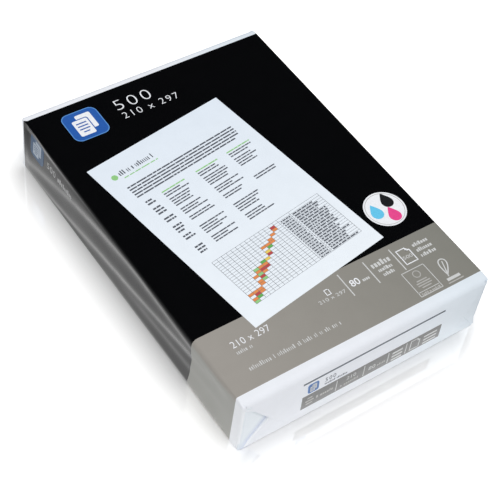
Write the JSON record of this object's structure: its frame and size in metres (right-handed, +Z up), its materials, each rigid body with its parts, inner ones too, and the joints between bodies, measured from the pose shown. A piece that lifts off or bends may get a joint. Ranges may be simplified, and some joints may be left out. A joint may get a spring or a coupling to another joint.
{
  "type": "ream of paper",
  "caption": "Sealed ream of A4 copy paper in a printed paper wrapper with folded and glued ends, lying flat.",
  "frame": {"origin": "middle of the underside, on the surface that the ream lies on", "axes": "+X along the short side, +Y along the long side towards the plain end, +Z up"},
  "size_m": [0.212, 0.3052, 0.0521],
  "materials": {
    "wrapper": "satin"
  },
  "bodies": {
    "root": {"wrapped_ream": "wrapper"}
  },
  "joints": []
}
